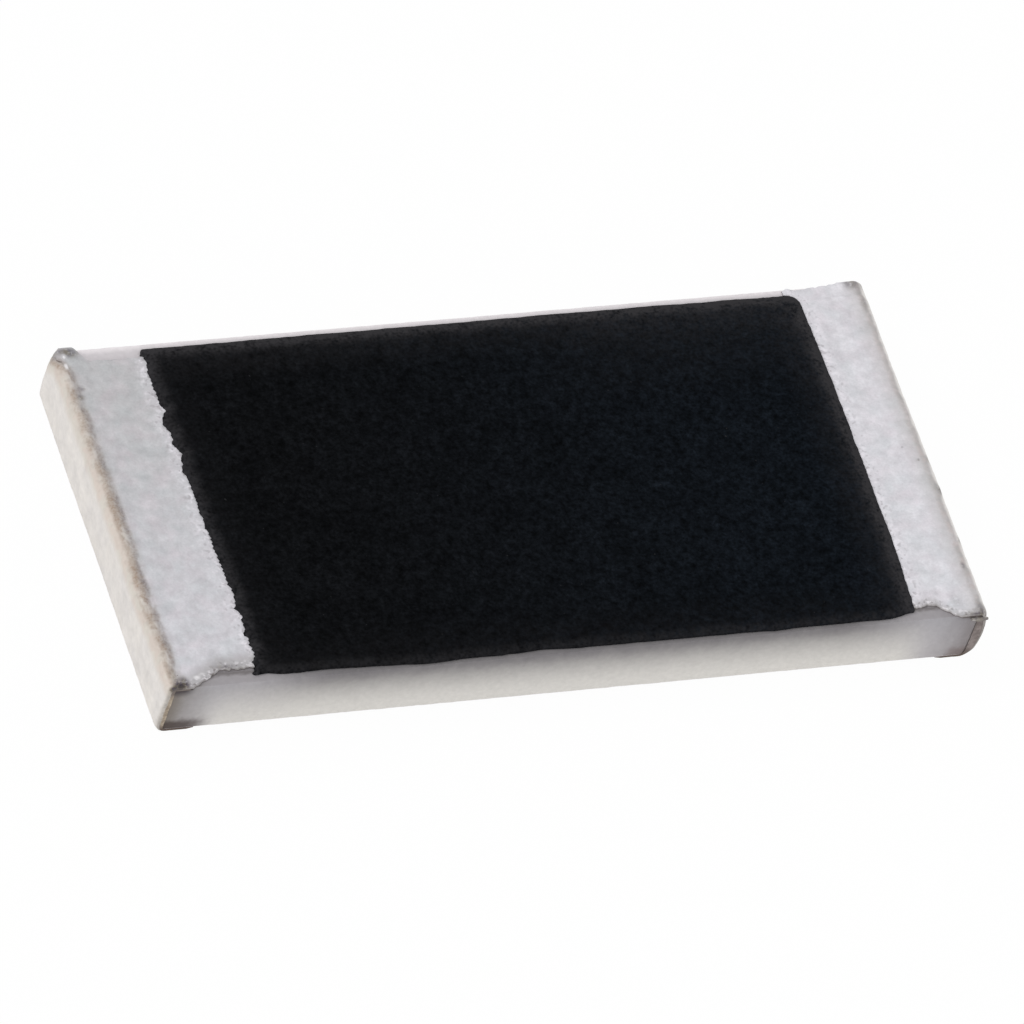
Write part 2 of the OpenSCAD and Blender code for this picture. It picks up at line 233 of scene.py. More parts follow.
def lumps(x, y, size, seed):
    """Smooth noise from -1 to 1 with lumps about size across."""
    u, v = np.broadcast_arrays(x / size, y / size)
    iu, iv = np.floor(u), np.floor(v)
    fu, fv = smooth(0, 1, u - iu), smooth(0, 1, v - iv)
    low = chance(iu, iv, seed) * (1 - fu) + chance(iu + 1, iv, seed) * fu
    high = chance(iu, iv + 1, seed) * (1 - fu) + chance(iu + 1, iv + 1, seed) * fu
    return 2 * (low * (1 - fv) + high * fv) - 1


def grain(x, y, size, seed):
    """Three octaves of noise, from about -1 to 1."""
    return (
        0.55 * lumps(x, y, size, seed)
        + 0.3 * lumps(x, y, size / 2.1, seed + 1)
        + 0.15 * lumps(x, y, size / 4.3, seed + 2)
    )


def wobble(place, coarse, fine):
    """Unevenness along an edge: coarse grain and fine lumps, each (reach, size, seed)."""
    return coarse[0] * grain(place, 0, *coarse[1:]) + fine[0] * lumps(place, 0, *fine[1:])


def teeth(place, marks):
    """Sum of blunt teeth along an edge."""
    return sum(r * np.clip(1.2 - np.abs(place - at) / half, 0, 1) for at, r, half in marks)


def swells(place, marks):
    """Sum of gentle swells along an edge."""
    return sum(reach * np.exp(-(((place - at) / half) ** 2)) for at, reach, half in marks)


def in_scene(name, data):
    """A new object in the scene."""
    item = bpy.data.objects.new(name, data)
    bpy.context.scene.collection.objects.link(item)
    return item


def build(name, shape, material, sharp):
    """Makes a mesh object of a shape and rides it on the chip. A shape is its points in
    millimetres, its faces, and its attributes with a value for each point."""
    points, faces, attributes = shape
    mesh = bpy.data.meshes.new(name)
    mesh.from_pydata((points.reshape(-1, 3) * MM).tolist(), [], faces)
    for key, values in attributes.items():
        layer = mesh.attributes.new(key, "FLOAT", "POINT")
        layer.data.foreach_set("value", values.reshape(-1).astype(np.float32))
    work = bmesh.new()
    work.from_mesh(mesh)
    bmesh.ops.recalc_face_normals(work, faces=work.faces)
    work.to_mesh(mesh)
    work.free()
    mesh.shade_smooth()
    mesh.set_sharp_from_angle(angle=math.radians(sharp))
    mesh.materials.append(material)
    piece = in_scene(name, mesh)
    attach(piece, "root")
    return piece


def joined(*parts):
    """Arrays side by side along a new last axis."""
    return np.stack(parts, axis=-1)


def beside(*parts):
    """Arrays in one, row by row."""
    return np.concatenate(parts, axis=1)


def numbered(rows, columns, start=0):
    """Numbers of the points of a grid."""
    return (start + np.arange(rows * columns)).reshape(rows, columns)


def tube_faces(k):
    """Quads of a skin through closed loops, each a row of point numbers."""
    after = np.roll(k, -1, axis=1)
    return joined(k[:-1], after[:-1], after[1:], k[1:]).reshape(-1, 4).tolist()


def strip_cap(loop):
    """Quads that close a flat loop whose second half runs back beside its first."""
    half = len(loop) // 2
    out = loop[:half]
    back = loop[::-1][:half]
    return joined(out[:-1], out[1:], back[1:], back[:-1]).tolist()


def line(start, end, steps):
    """Points from start up to, and without, end."""
    t = np.arange(steps)[:, None] / steps
    return np.array(start) * (1 - t) + np.array(end) * t


def slope(start, end, steps):
    """Points of a soft slope from start up to, and without, end."""
    t = np.arange(steps) / steps
    u = start[0] + (end[0] - start[0]) * t
    z = start[1] + (end[1] - start[1]) * smooth(0, 1, t)
    return joined(u, z)


def arc(centre, r, first, last, steps):
    """Points of an arc between two angles in degrees, without its end."""
    a = np.radians(first + (last - first) * np.arange(steps) / steps)
    return np.array(centre) + r * joined(np.cos(a), np.sin(a))


# Steps of the wrap's outline, from the coat's edge round the end to the lower print
LAND_STEPS = 34
LIP_STEPS = 26
BROW_STEPS = 12
FACE_STEPS = 24
FOOT_STEPS = 12
PAD_STEPS = 8
FEATHER_STEPS = 3
PRINT_STEPS = 8


def coat_left(y):
    """Left edge of the coat, saw-toothed by the weave of the printing screen."""
    t = (COAT_BACK - y) / (COAT_BACK - COAT_FRONT)
    straight = COAT_LEFT_BACK + (COAT_LEFT_FRONT - COAT_LEFT_BACK) * t
    ramp = (-y / SAW_PITCH + 0.7 * lumps(y, 0, 0.21, 13)) % 1
    saw = (SAW_REACH + SAW_REACH * lumps(y, 0, 0.33, 14)) * (2 * ramp - 1)
    return straight + teeth(y, LEFT_TEETH) + saw + 0.005 * grain(y, 0, 0.06, 11)


def coat_right(y):
    """Right edge of the coat, slightly bowed."""
    bow = np.where(y > 0, RIGHT_BOW["back"], RIGHT_BOW["front"]) * np.abs(y / BOW_HALF_Y) ** 3
    return COAT_RIGHT - bow + wobble(y, (0.006, 0.11, 23), (0.002, 0.02, 29))


def rounded(r, distance):
    """How far an outline steps back at a given distance from the end of its edge."""
    inside = np.clip(1 - distance / r, 0, 1)
    return r * (1 - np.sqrt(1 - inside**2))


def coat_end(side, y):
    """Left or right edge of the coat with both its corners rounded."""
    back = rounded(COAT_CORNER[side, "back"], COAT_BACK - y)
    front = rounded(COAT_CORNER[side, "front"], y - COAT_FRONT)
    edge = coat_left(y) if side == LEFT else coat_right(y)
    return edge - side * (back + front)


def coat_front_edge(x):
    """Front edge, almost straight."""
    edge = COAT_FRONT + swells(x, FRONT_SWELLS)
    return edge + wobble(x, (0.003, 0.16, 31), (0.002, 0.03, 33))


def coat_back_edge(x):
    """Back edge, sagging a little towards the right."""
    sag = BACK_SAG * smooth(1.2, 2.6, x)
    return COAT_BACK - sag + wobble(x, (0.005, 0.3, 37), (0.002, 0.03, 39))


def coat_reach(side, y):
    """Distance from the ceramic's end face inwards to the coat."""
    return END_X - side * coat_end(side, np.clip(y, COAT_FRONT, COAT_BACK))


def wrap_profile(side, paste, plate):
    """Outline of a wrap whose paste and plating have these thicknesses, as points (u, z)
    with u inwards from the ceramic's end face."""
    foot = FOOT_R[side]
    skin = paste + plate
    top = PRINT_TOP_Z
    base = PRINT_BASE_Z
    reach = BOTTOM_REACH + plate
    return np.concatenate([
        line((LIP, top + plate), (LIP, top + plate), LAND_STEPS),
        slope((LIP, top + plate), (BROW_R, top + skin), LIP_STEPS),
        arc((BROW_R, top - BROW_R), BROW_R + skin, 90, 180, BROW_STEPS),
        line((-skin, top - BROW_R), (-skin, base + foot), FACE_STEPS),
        arc((foot, base + foot), foot + skin, 180, 270, FOOT_STEPS),
        line((foot, base - skin), (LOWER_LIP - LOWER_FEATHER, base - skin), PAD_STEPS),
        line((LOWER_LIP - LOWER_FEATHER, base - skin), (LOWER_LIP, base - plate), FEATHER_STEPS),
        line((LOWER_LIP, base - plate), (reach, base - plate), PRINT_STEPS),
        line((reach, base - plate), (reach, CERAMIC_Z0), 1),
        [[reach, CERAMIC_Z0]],
    ])


STATIONS = len(wrap_profile(LEFT, 0, 0))
LAND_SHARE = np.zeros(STATIONS)
LAND_SHARE[:LAND_STEPS] = 1 - np.arange(LAND_STEPS) / LAND_STEPS
BROW_MIDDLE = LAND_STEPS + LIP_STEPS + BROW_STEPS // 2
FOOT_MIDDLE = LAND_STEPS + LIP_STEPS + BROW_STEPS + FACE_STEPS + FOOT_STEPS // 2
BELOW = np.arange(STATIONS) > FOOT_MIDDLE


def wrap_normals(side):
    """Outward direction of the wrap at each station, as (u, z)."""
    points = wrap_profile(side, PASTE_T, PLATING_T)
    steps = np.gradient(points, axis=0)
    steps[: LAND_STEPS + 1] = (-1, 0)
    steps[-2:] = (1, 0)
    steps /= np.linalg.norm(steps, axis=1)[:, None]
    return joined(steps[:, 1], -steps[:, 0])


def wrap_surface(side, paste, plate, y):
    """Places (u, z) of one face of the wrap's layers at each station and y."""
    profile = wrap_profile(side, paste, plate)
    normals = wrap_normals(side)
    outwards = np.clip(-normals[:, 0], 0, 1)[:, None]
    u = profile[:, 0][:, None] + LAND_SHARE[:, None] * (coat_reach(side, y) + UNDER_COAT - LIP)
    z = profile[:, 1][:, None] + 0 * y
    off_print = smooth(PRINT_HALF, PRINT_HALF + PRINT_SLOPE, np.abs(y))
    z = z - PRINT_T * off_print * normals[:, 1][:, None]
    corner = np.where(y < 0, CORNER_R[side, "front"], CORNER_R[side, "back"])
    u = u + rounded(corner, SIDE_Y + CORNER_EASE - np.abs(y)) * outwards
    if paste:
        height = (z - CERAMIC_Z0) / (CERAMIC_Z1 - CERAMIC_Z0)
        belly = np.clip(4 * height * (1 - height), 0, 1)
        out = END_OUT[side] + END_BULGE[side] * belly + 0.003 * lumps(y, z, 0.45, 41 + side)
        u = u - out * outwards
    return u, z


def metal_edge(side, way, depth, path):
    """Front or back edge of the metal at each station, and how far it has flared out."""
    start = np.where(BELOW, LOWER_LIP + LOWER_FLARE, FLARE_IN[side, way])
    full = np.where(BELOW, LOWER_LIP, FLARE_OUT[side, way])
    flare = np.clip((start - depth) / (start - full), 0, 1)
    half = np.where(BELOW, PLATED_HALF, PRINT_EDGE[side, way]) * (1 - flare) + SIDE_Y * flare
    seed = 51 + 2 * side + (way == "back")
    ragged = wobble(depth, (0.01, 0.06, seed), (0.009, 0.022, 55))
    steady = 0.002 * grain(path, 0, 0.08, seed + 3)
    half = half + np.where(flare < 1, ragged, steady)
    return (half if way == "back" else -half), flare


def across(front, back, fine):
    """Values of y from the front to the back edge of the metal, closer near both."""
    near = np.array([0, 0, 0, 0.002, 0.005, 0.009, 0.015, 0.023, 0.033, 0.044])
    count = int(2 * SIDE_Y / fine)
    t = np.linspace(0, 1, count + 2)[1:-1]
    low = front[:, None] + near
    high = back[:, None] - near[::-1]
    return beside(low, low[:, -1:] * (1 - t) + high[:, :1] * t, high)


def crease_at(side, y):
    """Where the brow's dark crease runs, inwards from the brow's middle; its darkness is partly
    stain and partly painted shade.
    """
    if side == RIGHT:
        return 0 * y
    bend = 0.11 * smooth(1.32, 1.56, y)
    return 0.076 - bend + wobble(y, (0.012, 0.4, 101), (0.004, 0.06, 103))


def blemish(side, y, rim, dark):
    """Height, or else darkness, of the blemishes of one terminal's skin."""
    total = 0 * y
    marks = LEFT_BLEMISHES if side == LEFT else RIGHT_BLEMISHES
    for at, off, half_y, half_rim, height, darkness in marks:
        spot = np.exp(-(((y - at) / half_y) ** 2) - ((rim - off) / half_rim) ** 2)
        total = total + spot * (darkness if dark else height)
    return total


def skin_relief(side, y, rim, from_edge):
    """Rise of the tin over its smooth shape: matte grain, brow, blemishes, worn edges."""
    brow = np.exp(-((rim / 0.05) ** 2))
    groove = np.exp(-(((rim - crease_at(side, y)) / 0.016) ** 2)) * (side == LEFT)
    return (
        0.0022 * grain(y, rim, 0.07, 61 + side)
        + 0.0009 * lumps(y, rim, 0.024, 67 + side)
        + brow * (0.004 * grain(y, rim, 0.12, 71 + side) + 0.002 * lumps(y, rim, 0.04, 73))
        - groove * (0.004 + 0.003 * lumps(y, 0, 0.1, 77))
        + blemish(side, y, rim, False)
        - rounded(0.008, from_edge)
    )


def drop_walls(outer, inner, on_print, ground):
    """Turns the spare first and last points of each row into walls: down to the ground on
    the prints, and elsewhere part of the way to the face under the layer."""
    seam = 0.6
    for foot, middle, edge in ((0, 1, 2), (-1, -2, -3)):
        u0, z0, u1, z1 = (values[:, edge] for values in (*outer, *inner))
        for index, share in ((foot, 1), (middle, 0.5)):
            wall_z = z0 + (ground - z0) * share
            outer[0][:, index] = np.where(on_print, u0, u0 + (u1 - u0) * share * seam)
            outer[1][:, index] = np.where(on_print, wall_z, z0 + (z1 - z0) * share * seam)
            inner[1][:, index] = np.where(on_print, z1 + (ground - z1) * share, z1)


def tin_guides(side, y, u, rim, from_edge):
    """What the tin's material goes by: how far each point is from the crease of the brow,
    from the coat and from the side edge, and its marks of stain, painted shade and painted
    highlight."""
    wall = from_edge.copy()
    wall[:, [0, -1]] = 2 * ON_WALL
    wall[:, [1, -2]] = ON_WALL
    return {
        "rim": rim - crease_at(side, y),
        "coat_gap": np.where(LAND_SHARE[:, None] > 0, coat_reach(side, y) - u, FAR),
        "side_gap": wall,
        "stain_shade_glint": blemish(side, y, rim, True),
    }


def shell(side, outer, inner, detail):
    """Shape of one layer of the wrap, the skin between two faces that are each given as
    (paste, plating). Detail adds relief and what the tin's material goes by."""
    base = wrap_profile(side, PASTE_T, PLATING_T)
    path = np.cumsum(np.r_[0, np.linalg.norm(np.diff(base, axis=0), axis=1)])
    depth = base[:, 0] + LAND_SHARE * (coat_reach(side, np.zeros(1)) - LIP)
    front, front_flare = metal_edge(side, "front", depth, path)
    back, back_flare = metal_edge(side, "back", depth, path)
    spacing = TIN_SPACING if detail else LAYER_SPACING
    rows = []
    for face in (outer, inner):
        inset = PLATING_T - face[1]
        y = across(front + inset * (front_flare < 1), back - inset * (back_flare < 1), spacing)
        rows.append([y, *wrap_surface(side, *face, y)])
    y, u, z = rows[0]
    from_edge = np.minimum(y - y[:, :1], y[:, -1:] - y)
    normals = wrap_normals(side)
    rim = (path[BROW_MIDDLE] - path)[:, None] + LAND_SHARE[:, None] * (coat_reach(side, y) - LIP)
    if detail:
        relief = skin_relief(side, y, rim, from_edge)
        rows[0][1] = u + normals[:, :1] * relief
        rows[0][2] = np.maximum(z + normals[:, 1:] * relief, 0)
    on_print = (np.minimum(front_flare, back_flare) < 1) & (normals[:, 1] != 0)
    drop_walls(rows[0][1:], rows[1][1:], on_print, np.where(BELOW, CERAMIC_Z0, CERAMIC_Z1))
    first, end = (0, STATIONS) if outer[1] else (LAND_STEPS, STATIONS - PRINT_STEPS - 2)
    outside, inside = (joined(side * (END_X - u), y, z) for y, u, z in rows)
    loops = beside(outside, inside[:, ::-1])[first:end]
    k = numbered(*loops.shape[:2])
    faces = tube_faces(k) + strip_cap(k[0]) + strip_cap(k[-1])
    attributes = tin_guides(side, y, rows[0][1], rim, from_edge) if detail else {}
    for key, values in attributes.items():
        attributes[key] = beside(values, values[:, ::-1])[first:end].reshape(-1)
    return loops.reshape(-1, 3), faces, attributes


def with_burr(points, faces, attributes):
    """Adds the sliver of plating that sticks out at the right front corner."""
    t = np.linspace(0, 1, 18)[:, None]
    a = np.radians(np.arange(0, 360, 30))[None, :]
    girth = BURR_R * np.sin(np.pi * (0.15 + 0.7 * t)) ** 0.35 * (1 + 0.5 * lumps(t, a, 0.17, 93))
    girth = girth * (1.1 - 0.45 * t)
    x = END_X - BURR_IN + BURR_LENGTH * t + 0 * a
    y = -SIDE_Y - 0.008 - 0.004 * t + 0.8 * girth * np.cos(a) + 0.003 * lumps(t, 0, 0.2, 94)
    z = PRINT_TOP_Z - BURR_BELOW - 0.008 * t + 0.5 * girth * np.sin(a)
    z = z + 0.003 * lumps(t, 0, 0.25, 95)
    k = numbered(*x.shape, len(points))
    points = np.concatenate([points, joined(x, y, z).reshape(-1, 3)])
    # The sliver is painted dark, partly its own brown and partly painted shade under it
    for key, value in {"rim": 0, "coat_gap": FAR, "side_gap": 0, "stain_shade_glint": 0.65}.items():
        attributes[key] = np.append(attributes[key], np.full(x.size, value))
    return points, faces + tube_faces(k) + k[[0, -1]].tolist(), attributes


def coat_lines(low, high, marks, coarse):
    """Grid lines between two edges, close together at the edges and at marked steps."""
    near = np.array([0, 0.004, 0.01, 0.018, 0.028, 0.04, 0.054, 0.07, 0.088, 0.108])
    middle = np.arange(low + near[-1] + coarse, high - near[-1] - coarse / 2, coarse)
    steps = [m + s for m in marks for s in (-0.0015, 0.0015)]
    lines = np.concatenate([low + near, middle, steps, high - near])
    lines = np.unique(np.round(lines, 5))
    keep = np.r_[True, np.diff(lines) > 0.0012]
    return lines[keep]


def coat_under(a, b):
    """Level of what the coat lies on: glass, print or bare ceramic."""
    on_print = (np.abs(a) > TOP_PRINT_IN) & (np.abs(b) < PRINT_HALF)
    in_glass = (np.abs(a) < GLASS_HIGH[0]) & (np.abs(b) < GLASS_HIGH[1])
    level = np.where(on_print, PRINT_TOP_Z, CERAMIC_Z1)
    return level + np.where(in_glass, GLASS_HIGH[2] - PRINT_TOP_Z, 0)


def coat_height(flat_x, flat_y, x, y, gaps):
    """Top face of the coat: rounded shoulders, a rise over the prints and a fine grain."""
    rise = np.ones_like(x)
    for gap in gaps.values():
        share = np.clip(gap / COAT_SHOULDER, 0, 1)
        rise = rise * np.sqrt(1 - (1 - share) ** 2)
    over_print = smooth(TOP_PRINT_IN - 0.06, TOP_PRINT_IN + 0.04, np.abs(flat_x))
    over_print = over_print * (1 - smooth(PRINT_HALF - 0.02, PRINT_HALF + 0.02, np.abs(flat_y)))
    full = COAT_TOP_Z - CERAMIC_Z1
    top = CERAMIC_Z1 + PRINT_T * over_print + COAT_EDGE_H + (full - COAT_EDGE_H) * rise
    by_edge = 1 - smooth(0, 0.05, np.min(list(gaps.values()), axis=0))
    top = top + 0.0008 * grain(x, y, 0.4, 83) + 0.0006 * lumps(x, y, 0.05, 87)
    return top + 0.0015 * lumps(x, y, 0.022, 89) * by_edge


def coat_fringe(flat_x, gaps):
    """How grey the coat is: most along its edges, and then in a faint haze further in."""
    fringe = 0 * flat_x
    haze = 0 * flat_x
    for way, gap in gaps.items():
        amount, width, faint = COAT_FRINGE[way]
        fringe = np.maximum(fringe, amount * (1 - smooth(0, width, gap)))
        haze = haze + faint * (1 - smooth(0, HAZE_REACH, gap))
    haze = haze + BACK_HAZE * smooth(0.2, 1.3, flat_x) * (1 - smooth(0.1, 1.0, gaps["back"]))
    return fringe + haze


def slab_faces(rows, columns):
    """Faces of a slab between an upper and a lower grid of points."""
    below = rows * columns
    k = numbered(rows, columns)
    quads = joined(k[:-1, :-1], k[:-1, 1:], k[1:, 1:], k[1:, :-1]).reshape(-1, 4)
    ring = np.concatenate([k[0], k[1:, -1], k[-1, -2::-1], k[-2:0:-1, 0]])
    wall = joined(ring, np.roll(ring, -1))
    faces = quads.tolist() + (quads[:, ::-1] + below).tolist()
    return faces + beside(wall, wall[:, ::-1] + below).tolist()


def coat_piece(material):
    """The black overcoat, an even grid pulled out to its toothed outline."""
    step_x = [-GLASS_HIGH[0], -TOP_PRINT_IN, TOP_PRINT_IN, GLASS_HIGH[0]]
    step_y = [-PRINT_HALF, -GLASS_HIGH[1], GLASS_HIGH[1], PRINT_HALF]
    left = (COAT_LEFT_BACK + COAT_LEFT_FRONT) / 2
    flat_x, flat_y = np.meshgrid(
        coat_lines(left, COAT_RIGHT, step_x, COAT_SPACING_X),
        coat_lines(COAT_FRONT, COAT_BACK, step_y, COAT_SPACING_Y),
    )
    gaps = {
        "left": flat_x - left, "right": COAT_RIGHT - flat_x,
        "front": flat_y - COAT_FRONT, "back": COAT_BACK - flat_y,
    }
    near = {way: 1 - smooth(0, COAT_PULL, gap) for way, gap in gaps.items()}
    x = flat_x + (coat_end(LEFT, flat_y) - left) * near["left"]
    x = x + (coat_end(RIGHT, flat_y) - COAT_RIGHT) * near["right"]
    y = flat_y + (coat_front_edge(flat_x) - COAT_FRONT) * near["front"]
    y = y + (coat_back_edge(flat_x) - COAT_BACK) * near["back"]
    top = coat_height(flat_x, flat_y, x, y, gaps)
    points = np.stack([joined(x, y, top), joined(x, y, coat_under(flat_x, flat_y))])
    fringe = coat_fringe(flat_x, gaps)
    shape = points, slab_faces(*x.shape), {"fringe": np.concatenate([fringe, fringe])}
    return build("black_overcoat", shape, material, COAT_SHARP)


def ceramic_stations():
    """Places along the ceramic, with its lower and upper level and its half widths there."""
    inner = 0.3
    ends = END_X - np.array([0, 0.001, 0.003, 0.006, 0.01, 0.015, 0.021, 0.03, 0.045, 0.065,
                             0.09, 0.12, 0.16, 0.2, 0.25])
    middle = np.arange(-END_X + inner, END_X - inner + 0.01, CERAMIC_SPACING)
    x = np.concatenate([-ends, middle, ends[::-1]])
    to_left = x + END_X
    to_right = END_X - x
    drop = rounded(BROW_R, to_left) + rounded(BROW_R, to_right)
    rise = rounded(FOOT_R[LEFT], to_left) + rounded(FOOT_R[RIGHT], to_right)
    halves = {}
    for way in ("back", "front"):
        narrow = rounded(CORNER_R[LEFT, way], to_left + CORNER_EASE)
        narrow = narrow + rounded(CORNER_R[RIGHT, way], to_right + CORNER_EASE)
        halves[way] = (SIDE_Y - narrow)[:, None]
    return x[:, None], (CERAMIC_Z0 + rise)[:, None], (CERAMIC_Z1 - drop)[:, None], halves


def ceramic_piece(material):
    """The alumina plate, snapped along its long sides and rounded at its ends."""
    x, z0, z1, halves = ceramic_stations()
    up = np.array([0, 0.02, 0.06, 0.12, 0.2, 0.3, 0.4, 0.5, 0.6, 0.7, 0.78, 0.84, 0.885])
    over = np.array([0, 0.004, 0.012, 0.03, 0.06, 0.1, 0.2, 0.35, 0.5])
    side_z = z0 + (z1 - z0) * up
    bevel_z = beside(z1 - SCRIBE_H * 0.55, z1 - SCRIBE_H * 0.2, z1)
    flat = np.ones((len(x), len(over) - 1))
    half_z = beside(z0 * flat, side_z, bevel_z, z1 * flat[:, 1:])
    half_y = {}
    for way, half in halves.items():
        bevel_y = half - np.array([0.12, 0.45, 1.0]) * SCRIBE_W
        top_y = (half - SCRIBE_W) * (1 - over[1:-1] * 2)
        low_y = half * (1 - over[:0:-1] * 2)
        half_y[way] = beside(low_y, half * np.ones_like(side_z), bevel_y, top_y)
    y = beside(half_y["back"], -half_y["front"][:, ::-1])
    z = beside(half_z, half_z[:, ::-1])
    x = x * np.ones_like(y)
    steep = np.abs(y) > np.where(y > 0, halves["back"], halves["front"]) - SCRIBE_W * 1.5
    rough = 0.0025 * grain(x, z + np.sign(y), 0.09, 91) + 0.001 * lumps(x, z, 0.03, 97)
    y = y + np.sign(y) * np.where(steep, rough - 0.0015, 0)
    k = numbered(*x.shape)
    shape = joined(x, y, z), tube_faces(k) + k[[0, -1]].tolist(), {}
    return build("alumina_plate", shape, material, CERAMIC_SHARP)


def srgb(*shade):
    """Linear colour of a shade given on the screen's scale of 0 to 255."""
    def linear(value):
        return value / 12.92 if value <= 0.04045 else ((value + 0.055) / 1.055) ** 2.4
    return (*(linear(value / 255) for value in shade), 1)


class Nodes:
    """Adds and links nodes of a material or of the world."""

    def __init__(self, owner, output):
        owner.use_nodes = True
        self.tree = owner.node_tree
        self.tree.nodes.clear()
        self.surface = self.add(output).inputs["Surface"]

    def add(self, kind, sockets=None, **settings):
        """A node with its settings, and with what goes into its sockets by name or number."""
        node = self.tree.nodes.new(kind)
        for name, value in settings.items():
            setattr(node, name, value)
        for key, value in (sockets or {}).items():
            self.feed(node.inputs[key], value)
        return node

    def feed(self, socket, value):
        """Links a socket to another one, or sets it to a plain value."""
        if isinstance(value, bpy.types.NodeSocket):
            self.tree.links.new(value, socket)
        else:
            socket.default_value = value

    def math(self, operation, first, second=0.5):
        """Sum or the like of two values; an operation on one value skips the second."""
        return self.add("ShaderNodeMath", {0: first, 1: second}, operation=operation).outputs[0]

    def product(self, *values):
        """Product of one or more values."""
        result = values[0]
        for value in values[1:]:
            result = self.math("MULTIPLY", result, value)
        return result

    def show_white(self, kind, share, matte):
        """Ends the tree in a white glow, at a share, for what the camera sees, directly, as
        gloss or through glass, and in a matte shader for the rest."""
        path = self.add("ShaderNodeLightPath").outputs
        seen = self.math("MAXIMUM", path["Is Camera Ray"], path["Is Glossy Ray"])
        seen = self.math("MAXIMUM", seen, path["Is Transmission Ray"])
        glow = self.add(kind, {"Color": WHITE, "Strength": 1}).outputs[0]
        sockets = {0: self.product(seen, share), 1: matte.outputs[0], 2: glow}
        self.feed(self.surface, self.add("ShaderNodeMixShader", sockets).outputs[0])


class Shader(Nodes):
    """Nodes of one material of the chip."""

    def __init__(self, name):
        self.material = bpy.data.materials.new(name)
        super().__init__(self.material, "ShaderNodeOutputMaterial")
        self.place = self.add("ShaderNodeTexCoord").outputs["Object"]

    def axis(self, letter):
        """Place along one axis, in millimetres."""
        parts = self.add("ShaderNodeSeparateXYZ", {"Vector": self.place})
        return self.math("DIVIDE", parts.outputs[letter], MM)

    def attribute(self, name):
        """Value of one of the mesh's attributes."""
        return self.add("ShaderNodeAttribute", attribute_name=name).outputs["Fac"]

    def fade(self, value, low, high, kind="SMOOTHSTEP"):
        """0 at low and 1 at high, smooth or linear between."""
        sockets = {"Value": value, "From Min": low, "From Max": high}
        return self.add("ShaderNodeMapRange", sockets, interpolation_type=kind).outputs[0]

    def band(self, value, middle, low, high):
        """Fade by the distance from a middle: 0 at low, 1 at high."""
        return self.fade(self.math("ABSOLUTE", self.math("SUBTRACT", value, middle)), low, high)

    def noise(self, size, detail=2, stretch=(1, 1, 1), shift=0):
        """Noise from about 0 to 1 with lumps of a size in millimetres."""
        place = {"Vector": self.place, "Scale": stretch, "Location": (shift, shift, shift)}
        place = self.add("ShaderNodeMapping", place).outputs[0]
        sockets = {"Vector": place, "Scale": 1 / (size * MM), "Detail": detail, "Roughness": 0.55}
        return self.add("ShaderNodeTexNoise", sockets).outputs[0]

    def wander(self, value, noise, reach):
        """A value shifted by up to about half the reach either way."""
        return self.math("ADD", value, self.product(self.math("SUBTRACT", noise, 0.5), reach))

    def ragged(self, value, low, high, size, reach, detail=3):
        """Fade whose border wanders with noise of a size, by up to half the reach."""
        return self.fade(self.wander(value, self.noise(size, detail), reach), low, high)

    def mix(self, share, first, second):
        """Second colour over the first by a share; shades are on the scale of 0 to 255."""
        first, second = (srgb(*c) if isinstance(c, tuple) else c for c in (first, second))
        sockets = {0: share, 6: first, 7: second}
        return self.add("ShaderNodeMix", sockets, data_type="RGBA").outputs[2]

    def tinted(self, colour, shade, *masks):
        """Colour with a shade laid over it by the product of the masks."""
        return self.mix(self.product(*masks), colour, shade)

    def scaled(self, colour, low, high, value):
        """Colour times a factor that goes from low to high as value goes from 0 to 1."""
        factor = self.add("ShaderNodeMapRange", {"Value": value, "To Min": low, "To Max": high})
        sockets = {0: colour, "Scale": factor.outputs[0]}
        return self.add("ShaderNodeVectorMath", sockets, operation="SCALE").outputs[0]

    def mottled(self, colour, spread, size, detail=2, shift=0):
        """Colour made lighter and darker by noise, by up to the spread either way."""
        return self.scaled(colour, 1 - spread, 1 + spread, self.noise(size, detail, shift=shift))

    def bump(self, size, detail, distance, strength):
        """Fine roughness of the surface, from noise of a size."""
        height = self.noise(size, detail)
        sockets = {"Height": height, "Distance": distance * MM, "Strength": strength}
        return self.add("ShaderNodeBump", sockets).outputs[0]

    def finish(self, colour, roughness, metallic, specular, normal):
        """The finished material."""
        sockets = {
            "Base Color": colour, "Roughness": roughness, "Metallic": metallic,
            "Specular IOR Level": specular, "Normal": normal,
        }
        self.feed(self.surface, self.add("ShaderNodeBsdfPrincipled", sockets).outputs[0])
        return self.material


def side_stains_and_shade(s, colour, side, level):
    """Painted shade, shadow and light at the ends of the side faces, and their browner rims."""
    x = s.axis("X")
    low = s.ragged(s.axis("Z"), 0.17, 0.08, 0.08, 0.08)
    stains_and_shade = (
        # Left end painted darker as shade, its browner rim, and a painted shadow in its upper
        # corner
        (0.6, (112, 106, 98), s.ragged(x, -2.72, -3.1, 0.1, 0.12)),
        (0.5, (98, 86, 70), s.ragged(x, -2.98, -3.1, 0.06, 0.08)),
        (0.95, (66, 60, 64), s.product(s.fade(x, -2.93, -3.03), s.fade(level, 0.78, 0.97))),
        # Right end painted darker as shade, its browner rim, and painted light on the turn of its
        # corner
        (0.55, (104, 97, 98), s.ragged(x, 2.7, 3.12, 0.1, 0.12)),
        (0.25, (96, 84, 78), s.ragged(x, 2.94, 3.1, 0.06, 0.12)),
        (0.6, (178, 168, 164), s.fade(x, 3.07, 3.11)),
        # Painted shadow on the left and right foot, by the floor
        (0.85, (64, 52, 48), s.product(low, s.ragged(x, -2.72, -2.94, 0.1, 0.16))),
        (0.45, (98, 76, 70), s.product(low, s.ragged(x, 2.9, 2.98, 0.1, 0.1, 2))),
    )
    for amount, shade, where in stains_and_shade:
        colour = s.tinted(colour, shade, where, side, amount)
    return colour


